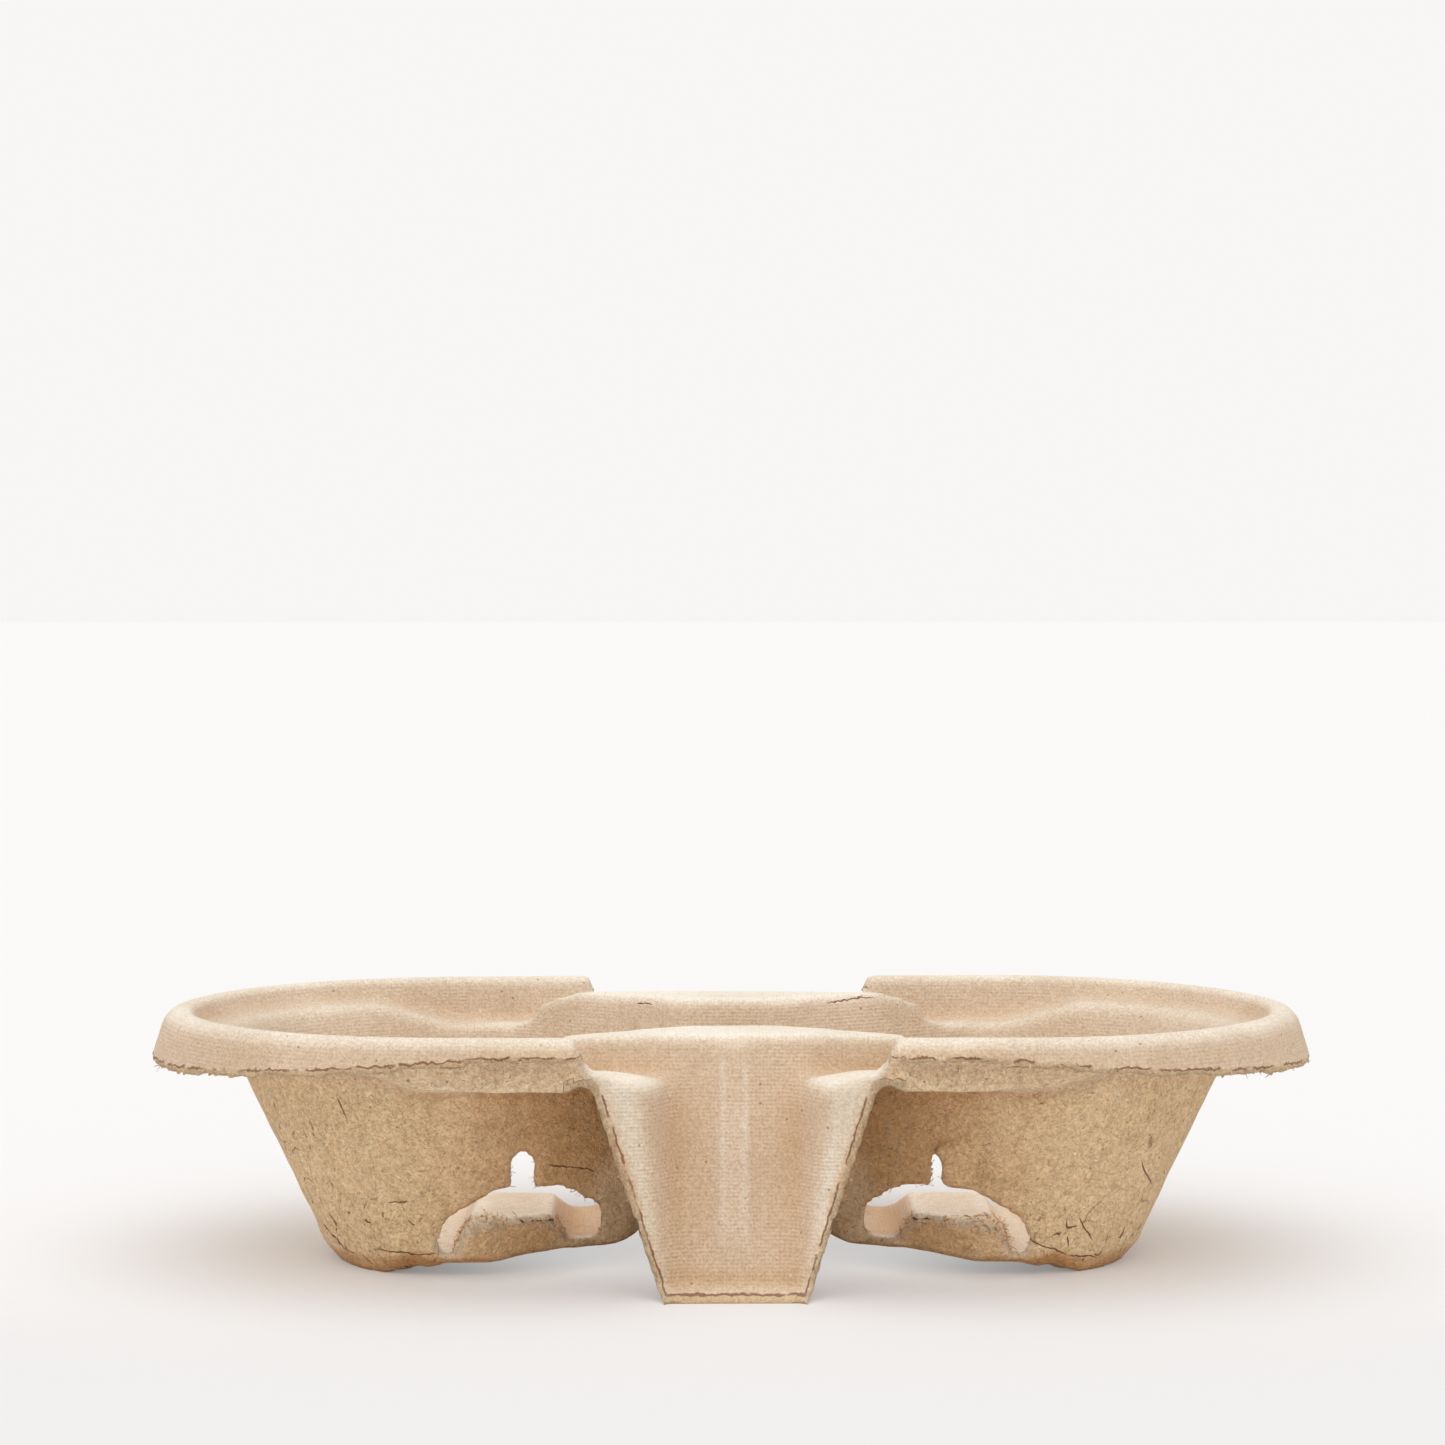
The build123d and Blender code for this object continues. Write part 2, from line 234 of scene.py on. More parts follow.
# Where each zone lies, in the measures that zoneMeasures gives. Two limits: none of it at the first,
# all at the second. Four: none, all, still all, none.
zones = {
    "legFace": {"x": (4.0, 5.5), "y": (36.5, 38.5), "z": (3, 5, 40, 42), "insideLeg": (1.5, 4.0)},
    "ledge": {"x": (44, 50), "z": (34, 36), "across": (38, 40, 48.2, 49.6)},
    "ridgeEnds": {"x": (16, 20, 44, 47), "y": (12, 16, 40, 43), "z": (33, 35)},
    "pad": {"x": (57, 66), "z": (6, 5.5), "up": (-0.1, -0.35)},
    "padCorner": {"x": (30, 60), "y": (10, 20), "z": (16, 6)},
    "sunkEdge": {"x": (34, 46, 55, 60), "y": (14, 22), "z": (1, 2.5, 5, 10)},
    "endWall": {"x": (54, 72), "across": (50, 48)},
    "shoulderTop": {"x": (11, 24, 27, 30), "y": (40, 44), "z": (33, 38, 42, 44)},
    "foot": {"x": (20, 18), "y": (44, 46), "z": (3.2, 0.3)},
    "skirt": {"x": (30.5, 32.5), "z": (43.6, 42.8), "across": (52.2, 53.4)},
    "slots": {"x": (17, 21, 58, 61), "y": (12, 16), "z": (28, 25)},
    "hump": {"x": (26, 29, 53, 56), "y": (15, 18), "z": (13, 11.5)},
    "humpUnder": {"up": (-0.1, -0.25)},
    "humpTop": {"y": (29, 27), "up": (0.5, 0.7)},
    "leg": {"x": (31, 29), "y": (35, 37), "z": (40, 38)},
    "sideways": {"aside": (0.45, 0.65)},
    "sole": {"z": (2.2, 1.2)},
    "aboveSole": {"z": (1.5, 3)},
    "smoothSide": {"up": (-0.06, 0.06)},
    "crest": {"z": (43.8, 45.0), "up": (0.6, 0.97)},
    "outerRim": {"across": (36, 40)},
    "shoulder": {"x": (11, 17, 27, 30), "y": (41, 44), "z": (34, 38, 42, 43.5), "up": (0.0, 0.4)},
    "flank": {"x": (31, 29), "y": (38, 41), "z": (40, 38), "pastPanel": (0.0, 2.5)},
    "lip": {"z": (0.8, 1.6, 2.6, 3.4)},
    "rib": {"x": (3.6, 2.3), "y": (40, 42), "z": (5, 12, 42, 44), "outward": (0.4, 0.7)},
    "wellInside": {"x": (30, 36), "across": (49, 46)},
    "wellFloor": {"z": (14, 10)},
    "underRim": {"z": (33, 36), "across": (40, 44)},
    "farSide": {"rear": (8, 16), "z": (30, 34)},
    "behindLegs": {"x": (66, 30), "y": (20, 24)},
    "facingDown": {"up": (-0.45, -0.75)},
    "ridgeRibs": {"x": (7, 10, 13.5, 17), "z": (29, 34), "outward": (-0.4, -0.8)},
    "slit": {"y": (18, 22), "z": (15, 18, 24, 26)},
    "bySlit": {"fromSlit": (5, 3)},
    "creasedFoot": {"x": (50, 60), "z": (20, 8)},
    "creasedEnd": {"x": (68, 78), "z": (38, 30)},
    "offTable": {"z": (0, 6)},
}


def zoneMeasures(points, normals):
    # Both halves and both wells are alike, so places are taken from the middle planes
    x, y, z = np.abs(points[:, 0]) / mm, np.abs(points[:, 1]) / mm, points[:, 2] / mm
    return {
        "x": x, "y": y, "z": z, "rear": points[:, 1] / mm,
        "across": np.hypot(np.maximum(x - form["wellCentre"], 0), y),  # from the wells' centre line
        "insideLeg": form["legFoot"] + form["legSpread"] * z - x,
        "pastPanel": x - form["panelFoot"] - form["panelSpread"] * z,
        "up": normals[:, 2], "aside": np.abs(normals[:, 0]),
        "outward": normals[:, 1] * np.sign(points[:, 1]),
    }


def inBox(name, measures):
    width, depth, height = form[name]
    return (measures["x"] < width) & (measures["y"] > depth) & (measures["z"] < height)


def fade(none, full, values):
    share = np.clip((values - none) / (full - none), 0, 1)
    return share * share * (3 - 2 * share)


def zone(name, measures):
    share = 1.0
    for key, limits in zones[name].items():
        share = share * fade(limits[0], limits[1], measures[key])
        if len(limits) == 4:
            share = share * fade(limits[3], limits[2], measures[key])
    return share


def fieldNoise(points, size, shift):
    # The shift is its fixed seed
    offset = Vector((shift, shift * 0.7, -shift * 1.3))
    return np.array([noise.noise(Vector(p) / (size * mm) + offset) for p in points])


def meshPoints(mesh):
    flat = np.empty(len(mesh.vertices) * 3)
    mesh.vertices.foreach_get("co", flat)
    return flat.reshape(-1, 3)


def meshNormals(mesh):
    flat = np.empty(len(mesh.vertices) * 3)
    mesh.vertex_normals.foreach_get("vector", flat)
    return flat.reshape(-1, 3)


def setPoints(mesh, points):
    mesh.vertices.foreach_set("co", points.astype(np.float32).ravel())
    mesh.update()


def neighbours(mesh):
    flat = np.empty(len(mesh.edges) * 2, dtype=np.int64)
    mesh.edges.foreach_get("vertices", flat)
    return flat.reshape(-1, 2).T


def neighbourMean(ends, values):
    first, second = ends
    size = len(values)
    count = np.bincount(first, minlength=size) + np.bincount(second, minlength=size)
    total = np.bincount(first, values[second], size) + np.bincount(second, values[first], size)
    return total / np.maximum(count, 1)


def blurred(ends, values, passes, strength=0.6):
    for _ in range(passes):
        values = values + (neighbourMean(ends, values) - values) * strength
    return values


def easedPoints(ends, points, passes):
    # Smooths the working mesh without letting it shrink
    columns = [points[:, axis] for axis in range(3)]
    for _ in range(passes):
        columns = [blurred(ends, column, 1, 0.55) for column in columns]
        columns = [blurred(ends, column, 1, -0.50) for column in columns]
    return np.stack(columns, axis=1)


def evaluated(blank):
    return bpy.data.meshes.new_from_object(blank.evaluated_get(bpy.context.evaluated_depsgraph_get()))


def wallDepth(mesh, points, normals):
    # How far the pulp goes on straight below each point
    tree = BVHTree.FromPolygons([Vector(p) for p in points], [tuple(f.vertices) for f in mesh.polygons])
    start, reach = carrier["probeStart"] * mm, carrier["probe"] * mm
    depth = np.full(len(points), reach)
    for i, (p, n) in enumerate(zip(points, normals)):
        distance = tree.ray_cast(Vector(p - n * start), Vector(-n), reach)[3]
        if distance is not None:
            depth[i] = distance + start
    return depth


def sheetLayer(mesh, points, side, edge):
    # Distance from the smooth side, through the thickness of the sheet
    smoothFaces = [tuple(f.vertices) for f in mesh.polygons
                   if min(side[v] for v in f.vertices) > 0.6 and max(edge[v] for v in f.vertices) < 0.4]
    tree = BVHTree.FromPolygons([Vector(p) for p in points], smoothFaces)
    layer = (1 - side) * carrier["sheet"]
    for i in np.nonzero(edge > 0.05)[0]:
        layer[i] = min(tree.find_nearest(Vector(points[i]))[3] / mm, carrier["sheet"])
    return layer


def workingMesh():
    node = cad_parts["cup_carrier"]
    blank = bpy.data.objects.new("blank", node.data.copy())
    bpy.context.scene.collection.objects.link(blank)
    weld = blank.modifiers.new("weld", "WELD")
    weld.merge_threshold = 0.01 * mm
    remesh = blank.modifiers.new("remesh", "REMESH")
    remesh.mode = "VOXEL"
    remesh.voxel_size = carrier["cell"] * mm
    mesh = evaluated(blank)
    bpy.data.objects.remove(blank)
    mesh.name = "carrier"
    return mesh


def settledPoints(ends, points, normals):
    # Softer legs, ledges and ridges, settled well corners and the spread foot of each leg
    measures = zoneMeasures(points, normals)
    z, halves = measures["z"], np.sign(points)
    for name, passes in (("legFace", "legEasing"), ("ledge", "ledgeEasing"), ("ridgeEnds", "ridgeEasing")):
        strength = 0.6 * zone(name, measures)
        for axis in range(3):
            points[:, axis] = blurred(ends, points[:, axis], carrier[passes], strength)

    drop, top = carrier["padDrop"], carrier["padTop"]
    settled = np.minimum(np.maximum(z - drop, 0) * top / (top - drop), z)
    foot = zone("foot", measures)
    points[:, 2] += (settled - z) * zone("pad", measures) * mm
    points[:, 1] += halves[:, 1] * zone("padCorner", measures) * carrier["padSpread"] * mm
    points[:, 2] -= zone("sunkEdge", measures) * carrier["sag"] * mm
    drawn = np.interp(z, carrier["wallHeights"], carrier["wallDrawn"])
    points[:, 0] -= halves[:, 0] * drawn * zone("endWall", measures) * mm
    points[:, 2] += zone("shoulderTop", measures) * carrier["shoulderRise"] * mm
    points[:, 1] += halves[:, 1] * foot * carrier["lipReach"] * mm
    return points, foot


def surfaceMarks(mesh, ends, points, normals, foot):
    # Where the surface is smooth or rough side, trimmed edge, bulging or hollow, pale with painted light and
    # wear, or darkened with painted shade
    measures = zoneMeasures(points, normals)
    inZone = partial(zone, measures=measures)
    z = measures["z"]

    flat = np.maximum(inZone("humpUnder"), inZone("humpTop"))
    slots = inZone("slots")
    legSide = inZone("leg") * np.maximum(inZone("sideways"), inZone("sole"))
    thick = fade(*carrier["thick"], wallDepth(mesh, points, normals) / mm)
    trimmed = np.max([inZone("skirt"), legSide, slots * (1 - inZone("hump") * flat)], axis=0)
    edge = blurred(ends, thick * trimmed, 1)
    side = blurred(ends, inZone("smoothSide"), 1)
    rough = 1 - side

    pressedAndLit = carrier["pressedAndLit"]
    underRim = rough * inZone("underRim")
    onCrest = pressedAndLit["crest"] + (pressedAndLit["outerCrest"] - pressedAndLit["crest"]) * inZone("outerRim")
    inWell = pressedAndLit["wellWall"] + (pressedAndLit["wellFloor"] - pressedAndLit["wellWall"]) * inZone("wellFloor")
    # Pale: painted highlights on the crests, shoulders, flanks and rib, painted light in the wells, under the rim
    # and on the far side, and some pressed or rubbed pulp
    pale = np.max([
        onCrest * inZone("crest"),
        pressedAndLit["shoulder"] * inZone("shoulder"),
        pressedAndLit["flank"] * inZone("flank") * side,
        pressedAndLit["lip"] * inZone("lip") * foot,
        pressedAndLit["rib"] * inZone("rib"),
        pressedAndLit["legSide"] * legSide * edge,
        inWell * inZone("wellInside") * side,
        pressedAndLit["underRim"] * underRim,
        pressedAndLit["farSide"] * inZone("farSide") * side], axis=0)
    # Painted shade: between the legs and the wells, and where the rough side faces down
    shaded = np.maximum(carrier["behindLegs"] * inZone("behindLegs"), inZone("facingDown"))
    shaded *= rough * (1 - underRim) * (1 - edge)

    # Height above the torn hem of the skirt and of each leg
    hemLine = form["rimTop"] - np.interp(measures["x"], form["hemAt"], form["hemDrop"])
    hem = np.where(measures["across"] > form["skirtFrom"], z - hemLine, form["noHem"])
    onLeg = inBox("legBox", measures)
    hem = np.where(onLeg, np.minimum(measures["insideLeg"], z), hem)

    middle = np.stack([blurred(ends, points[:, axis], 16) for axis in range(3)], axis=1)
    bulge = np.einsum("ij,ij->i", points - middle, normals) / mm
    cracked = inZone("creasedFoot") + carrier["slotCracks"] * blurred(ends, edge * slots, 8)
    cracked += carrier["endCracks"] * inZone("creasedEnd") * rough
    return {
        "side": side,
        "edge": edge,
        "slot": edge * slots,
        "bulge": blurred(ends, np.clip(bulge / 0.5, -1, 1), 2),
        "layer": sheetLayer(mesh, points, side, edge),
        "cracked": np.clip(cracked, 0, 1),
        "pale": blurred(ends, pale, 1),
        "shaded": shaded,
        "hem": np.clip(hem, 0, 4),
        "neat": np.where(onLeg, 1.0, 0.0),
        "fray": edge * (1 - 0.75 * legSide * inZone("aboveSole")),
    }


def unevenPoints(ends, points, normals, marks):
    # Waves of the sheet, lumps on its rough side, ribs, torn edges and slits that have closed a little
    measures = zoneMeasures(points, normals)
    size, edge = carrier["waveSize"], marks["edge"]
    waves = [fieldNoise(points, size, 3.1), fieldNoise(points, size, 13.3), fieldNoise(points, size * 1.6, 21.9)]
    shift = np.stack(waves, axis=1) * carrier["wave"] * mm
    lump = fieldNoise(points, carrier["lumpSize"], 8.7) * carrier["lump"] * (1 - marks["side"]) * (1 - edge)
    tear = fieldNoise(points, carrier["tearSize"], 5.5) + 0.7 * fieldNoise(points, carrier["tearSize"] * 0.5, 6.2)
    tear *= np.clip(blurred(ends, edge, 6) * 2.0, 0, 1)
    tear *= np.where(inBox("legEdgeBox", measures), carrier["legTear"], carrier["tear"])
    ribs = zone("ridgeRibs", measures) * carrier["ridgeRib"] + zone("rib", measures) * carrier["ribRise"]
    shift += normals * ((lump + ribs + tear) * mm)[:, None]
    for well, pinch, slide in zip((-1, 1), carrier["slitPinch"], carrier["slitShift"]):
        fromSlit = well * points[:, 0] / mm - form["slit"]
        atSlit = zone("slit", measures) * zone("bySlit", {"fromSlit": np.abs(fromSlit)})
        atSlit *= well * points[:, 0] > 0
        shift[:, 0] += (slide - well * np.clip(fromSlit, -1, 1) * pinch) * atSlit * mm
    shift[:, 2] *= zone("offTable", measures)
    points = points + shift
    points[:, 2] = np.maximum(points[:, 2], 0)
    return points


def makeCarrier():
    mesh = workingMesh()
    ends = neighbours(mesh)
    points = easedPoints(ends, meshPoints(mesh), carrier["easing"])
    setPoints(mesh, points)
    points, foot = settledPoints(ends, points, meshNormals(mesh))
    setPoints(mesh, points)
    normals = meshNormals(mesh)
    print("carrier mesh", len(points), "points", len(mesh.polygons), "faces")
    marks = surfaceMarks(mesh, ends, points, normals, foot)
    setPoints(mesh, unevenPoints(ends, points, normals, marks))
    for name, values in marks.items():
        layer = mesh.attributes.new(name, "FLOAT", "POINT")
        layer.data.foreach_set("value", values.astype(np.float32))
    mesh.polygons.foreach_set("use_smooth", [True] * len(mesh.polygons))
    mesh.materials.clear()
    mesh.materials.append(makePulp())
    piece = bpy.data.objects.new("carrierBody", mesh)
    bpy.context.scene.collection.objects.link(piece)
    return piece


# Moulded paper pulp, dried on a wire screen: matt and felted, with the wire's weave
# pressed into the smooth side and loose fibres and lumps on the other
pulp = {
    "smooth": "#dabea0",
    "rough": "#ffdbab",
    "wornAndLit": "#faefdd",  # painted highlight where it bulges and faces up, painted light on the tops, flanks, ribs and wells, and wear where it rubs
    # painted shade in the hollows
    "sunk": "#cda57b",
    "edge": "#d6b68c",
    "slot": "#cf9c68",
    "torn": "#dfbc8d",
    "shade": "#dda15f",
    "dark": "#6f3b12",
    # painted shade in the creases, wrinkles, splits and gaps of the sheet
    "creaseShade": "#7a3a08",
    "light": "#f5e4c8",
    "roughness": 0.92,
    "ior": 1.5,
    "specular": 0.25,  # half of what a plain surface mirrors, because the felt traps light
    "sheen": 0.12,
    "sheenRoughness": 0.5,
    "wirePitch": 0.68,  # the real wire is 0.52, too fine for the render
    "wires": (0.30, 0.45, 1.0),  # strength of the wires counted along x, y and z
    "wireTone": 0.075,
    "warmth": (0.9, 1.15, 1.5),  # how much faster green and blue fall than red where it is darker
    "gapLayer": 1.0,  # where the sheet splits at its trimmed edges
    "gapWander": 1.6,
    "splitLine": 1.30,  # height of the split line above the torn hem
    "ribHighlight": 2.1,  # two painted highlight lines, this far from the middle of each leg
    "legFrom": 38,
    "fleckPitch": 2.4,  # cells that may hold a dark speck or a pale fleck
    "speckCells": 0.74,
    "fleckCells": 0.16,
    "crackEverywhere": 0.05,
    "crackStrength": 1.5,
    # Creases: x and z of both ends, and which half they are in (front -1, rear 1)
    "creases": (
        (18.5, 43.7, 29.5, 44.6, 1), (-18.5, 43.9, -15.0, 44.2, 1), (51.5, 8.2, 61.5, 3.6, -1),
        (61.0, 3.9, 67.5, 2.4, -1), (62.8, 11.2, 66.0, 6.0, -1), (-66.5, 5.0, -53.0, 4.4, -1),
        (-76.5, 8.0, -70.5, 3.2, -1), (-71.5, 34.0, -69.6, 29.8, -1), (-34.5, 20.8, -24.5, 18.6, -1),
        (-63.0, 14.3, -58.6, 14.9, -1), (74.5, 21.0, 77.8, 15.0, -1)),
    "creaseWidth": 0.20,
    "creaseWander": 2.2,
    "creaseFrom": 12,  # distance from the middle plane to where a half's creases begin
    # Size, detail, roughness and distortion of each cloud
    "clouds": {
        "press": (12, 3, 0.5, 0.0),  # how well the wire printed
        "grain": (0.48, 3, 0.65, 0.0),
        "felt": (0.95, 4, 0.62, 0.6),
        "lumps": (3.0, 4, 0.6, 0.0),
        "drift": (24, 2, 0.5, 0.0),  # slow change of tone
        "breaks": (4.5, 2, 0.5, 0.0),
        "shortBreaks": (2.0, 1, 0.5, 0.0),
        "splitBreaks": (5.0, 2, 0.5, 0.0),
        "meander": (4.0, 3, 0.6, 0.0),
        "wander": (3.5, 3, 0.5, 0.0),
        "ragged": (1.9, 3, 0.6, 0.0),
    },
    # Thin curling lines where a cloud passes one level: its size, the level, the width of the line,
    # distortion, and how far it is drawn out in height
    "strands": {
        "paleHairs": (3.4, 0.5, 0.020, 1.6, 1.0),
        "finePaleHairs": (2.2, 0.44, 0.016, 2.2, 1.0),
        "darkHairs": (3.0, 0.53, 0.013, 2.4, 1.0),
        "fineDarkHairs": (5.0, 0.47, 0.008, 3.0, 1.0),
        "wrinkles": (15.0, 0.5, 0.0050, 0.3, 0.55),
        "shortWrinkles": (7.0, 0.5, 0.017, 0.3, 0.55),
    },
    # Soft changes of the material: from and to which value, and what they give there
    "fades": {
        "press": (0.35, 0.62, 0.2, 1.0),
        "breaks": (0.54, 0.60, 0.0, 0.3),
        "shortBreaks": (0.50, 0.56, 0.0, 0.7),
        "gap": (0.10, 0.24, 1.0, 0.0),
        "gapEdge": (0.45, 0.75, 0.0, 1.0),
        "raggedness": (0.0, 1.0, 1.9, 1.1),  # on the skirt and on a leg
        "torn": (1.0, 1.35, 1.0, 0.0),
        "split": (0.10, 0.27, 0.8, 0.0),
        "splitBreaks": (0.38, 0.48, 0.0, 1.0),
        "ribHighlight": (0.1 * mm, 1.0 * mm, 1.0, 0.0),
        "ribHeight": (6 * mm, 18 * mm, 0.0, 1.0),
        "specks": (0.07, 0.14, 1.0, 0.0),
        "flecks": (0.08, 0.16, 1.0, 0.0),
        "wornAndLit": (0.0, 0.75, 0.0, 1.0),
        "upwardHighlight": (0.3, 0.95, 0.12, 1.0),
        "sunk": (0.0, -0.75, 0.0, 1.0),
        "stainHeight": (12 * mm, 19 * mm, 0.0, 1.0),
        "stainFelt": (0.35, 0.6, 0.0, 1.0),
        "lumpTone": (0.3, 0.7, -0.07, 0.08),
        "feltTone": (0.3, 0.7, -0.16, 0.16),
        "coarseTone": (0.0, 1.0, 0.3, 1.0),  # on the smooth side and on the rough one
        "driftTone": (0.3, 0.7, -0.06, 0.06),
        "grainTone": (0.3, 0.7, -0.15, 0.12),
        "grainWherePale": (0.3, 1.0, 1.0, 0.5),
        "sideTone": (0.0, 1.0, 1.0, 1.05),
    },
    # Colours laid over each other before the tone and after it: where, how strongly, and which one
    "coats": (
        ("side", 1.0, "smooth"), ("wornAndLit", 0.6, "wornAndLit"), ("sunk", 0.5, "sunk"), ("edge", 1.0, "edge"),
        ("shaded", 0.9, "shade"), ("torn", 0.8, "torn"), ("pale", 0.9, "wornAndLit"), ("ribHighlight", 0.22, "wornAndLit"),
        ("slot", 0.15, "light"), ("stain", 1.0, "slot")),
    "flaws": (
        ("specks", 0.55, "dark"), ("darkHairs", 1.0, "dark"),
        ("paleMarks", 0.6, "light"), ("lines", 0.95, "creaseShade")),
    # Height or strength of each layer on both sides, and how much more on the rough one
    "relief": {
        "weave": (0.04, 0.0), "grain": (0.22, 0.22), "felt": (0.16, 0.55), "lumps": (0.10, 0.7),
        "hairs": (0.0, 0.10), "ribHighlight": (0.12, 0.0), "lines": (-0.12, 0.0)},
    "tornRelief": (0.5, -0.3),
    "hairShares": {"dark": (0.10, 0.42), "pale": (0.2, 0.35)},
}


def laidOver(add, colour, masks, coats):
    for name, strength, tint in coats:
        share = add(maths, times, (masks[name], strength))
        colour = add(mix, tinted, {0: share, 6: colour, 7: linearColour(pulp[tint])}, 2)
    return colour


def wireWeave(add, axes, facing):
    # Drawn along each axis that the surface doesn't face
    weave = 0.0
    for axis, strength in enumerate(pulp["wires"]):
        turns = add(maths, times, (axes[axis], 2 * math.pi * perMetre(pulp["wirePitch"])))
        across = add(maths, minus, (1.0, add(maths, unsigned, (facing[axis],))))
        wire = add(maths, times, (add(maths, sine, (turns,)), across))
        weave = add(maths, timesPlus, (wire, strength, weave))
    return weave


def creasesOver(add, cracks, axes, meander):
    # What the mould and use have left: short lines that wander, each in one half of the carrier
    meander = add(maths, times, (add(maths, minus, (meander, 0.5)), pulp["creaseWander"] * mm))
    for startX, startZ, endX, endZ, half in pulp["creases"]:
        slope = (endZ - startZ) / (endX - startX)
        line = add(maths, timesPlus, (axes[0], slope, (startZ - slope * startX) * mm))
        apart = add(maths, plus, (add(maths, minus, (axes[2], line)), meander))
        width = pulp["creaseWidth"] * mm * math.hypot(1, slope)
        onLine = add(ramp, soft, (add(maths, unsigned, (apart,)), 0.25 * width, width, 1.0, 0.0))
        along = add(maths, unsigned, (add(maths, minus, (axes[0], (startX + endX) / 2 * mm)),))
        reach = abs(endX - startX) / 2 * mm
        inReach = add(ramp, soft, (along, 0.6 * reach, reach, 1.0, 0.0))
        inHalf = add(maths, above, (add(maths, times, (axes[1], half)), pulp["creaseFrom"] * mm))
        crease = add(maths, times, (add(maths, times, (onLine, inReach)), inHalf))
        cracks = add(maths, larger, (cracks, crease))
    return cracks


def makePulp():
    material = bpy.data.materials.new("mouldedPulp")
    material.use_nodes = True
    tree = material.node_tree
    tree.nodes.clear()
    add = partial(addNode, tree)
    place = add("ShaderNodeTexCoord", output="Object")
    masks = {name: add("ShaderNodeAttribute", {"attribute_name": name}, output="Fac") for name in (
        "side", "edge", "slot", "bulge", "layer", "cracked", "pale", "shaded", "hem", "neat")}
    rough = add(maths, minus, (1.0, masks["side"]))
    axes = add("ShaderNodeSeparateXYZ", None, (place,), None)
    facing = add("ShaderNodeSeparateXYZ", None, (add("ShaderNodeNewGeometry", output="Normal"),), None)
    fades, noises, curls = pulp["fades"], {}, {}
    for name, (size, detail, roughness, distortion) in pulp["clouds"].items():
        noises[name] = add("ShaderNodeTexNoise", None, {
            "Vector": place, "Scale": perMetre(size), "Detail": detail,
            "Roughness": roughness, "Distortion": distortion})
    for name, (size, level, width, distortion, drawn) in pulp["strands"].items():
        cloud = add("ShaderNodeTexNoise", None, {
            "Vector": add(vectors, times, (place, (1.0, 1.0, drawn))), "Scale": perMetre(size),
            "Detail": 1.5, "Roughness": 0.5, "Distortion": distortion})
        away = add(maths, unsigned, (add(maths, minus, (cloud, level)),))
        curls[name] = add(ramp, soft, (away, 0.0, width, 1.0, 0.0))
    hairs = add(maths, larger, (curls["paleHairs"], curls["finePaleHairs"]))
    darkHairs = add(maths, larger, (curls["darkHairs"], curls["fineDarkHairs"]))
    weave = add(maths, times, (masks["side"], add(ramp, soft, (noises["press"], *fades["press"]))))
    weave = add(maths, times, (wireWeave(add, axes, facing), weave))

    # Wrinkles, long ones faint and short ones deep, darkened with painted shade
    cracks = add(maths, larger, [
        add(maths, times, (curls[name], add(ramp, soft, (noises[where], *fades[where]))))
        for name, where in (("wrinkles", "breaks"), ("shortWrinkles", "shortBreaks"))])
    cracks = add(maths, times, (cracks, add(maths, plus, (masks["cracked"], pulp["crackEverywhere"]))))
    cracks = add(maths, smaller, (add(maths, times, (cracks, pulp["crackStrength"])), 1.0))
    cracks = creasesOver(add, cracks, axes, noises["meander"])

    # The gap where the sheet splits at a trimmed edge, and the torn hem with its split line
    wander = add(maths, times, (add(maths, minus, (noises["wander"], 0.5)), pulp["gapWander"]))
    fromGap = add(maths, minus, (add(maths, plus, (masks["layer"], wander)), pulp["gapLayer"]))
    gap = add(ramp, soft, (add(maths, unsigned, (fromGap,)), *fades["gap"]))
    gap = add(maths, times, (gap, add(ramp, soft, (masks["edge"], *fades["gapEdge"]))))
    ragged = add(maths, minus, (noises["ragged"], 0.5))
    raggedness = add(ramp, soft, (masks["neat"], *fades["raggedness"]))
    ragged = add(maths, timesPlus, (ragged, raggedness, masks["hem"]))
    torn = add(ramp, soft, (ragged, *fades["torn"]))
    split = add(maths, unsigned, (add(maths, minus, (ragged, pulp["splitLine"])),))
    split = add(ramp, soft, (split, *fades["split"]))
    split = add(maths, times, (split, add(ramp, soft, (noises["splitBreaks"], *fades["splitBreaks"]))))
    # The creases, gap and split line are darkened with painted shade as well
    cracks = add(maths, larger, (cracks, add(maths, larger, (gap, split))))

    # Two painted highlight lines where the rib of each leg turns back into the panel
    onLeg = add(maths, above, (add(maths, unsigned, (axes[1],)), pulp["legFrom"] * mm))
    onLeg = add(maths, times, (onLeg, add(ramp, soft, (axes[2], *fades["ribHeight"]))))
    fromLine = add(maths, minus, (add(maths, unsigned, (axes[0],)), pulp["ribHighlight"] * mm))
    ribHighlight = add(ramp, soft, (add(maths, unsigned, (fromLine,)), *fades["ribHighlight"]))
    ribHighlight = add(maths, times, (add(maths, times, (ribHighlight, onLeg)), masks["side"]))

    # Dark specks and pale flecks, in some of the cells of one pattern
    cells = add("ShaderNodeTexVoronoi", None, {"Vector": place, "Scale": perMetre(pulp["fleckPitch"])}, None)
    chosen = add("ShaderNodeSeparateColor", None, (cells["Color"],))
    specks = add(ramp, soft, (cells["Distance"], *fades["specks"]))
    specks = add(maths, times, (specks, add(maths, above, (chosen, pulp["speckCells"]))))
    flecks = add(ramp, soft, (cells["Distance"], *fades["flecks"]))
    flecks = add(maths, times, (flecks, add(maths, below, (chosen, pulp["fleckCells"]))))

    # Where each coat of colour lies, apart from the places that the mesh itself knows
    felt = noises["felt"]
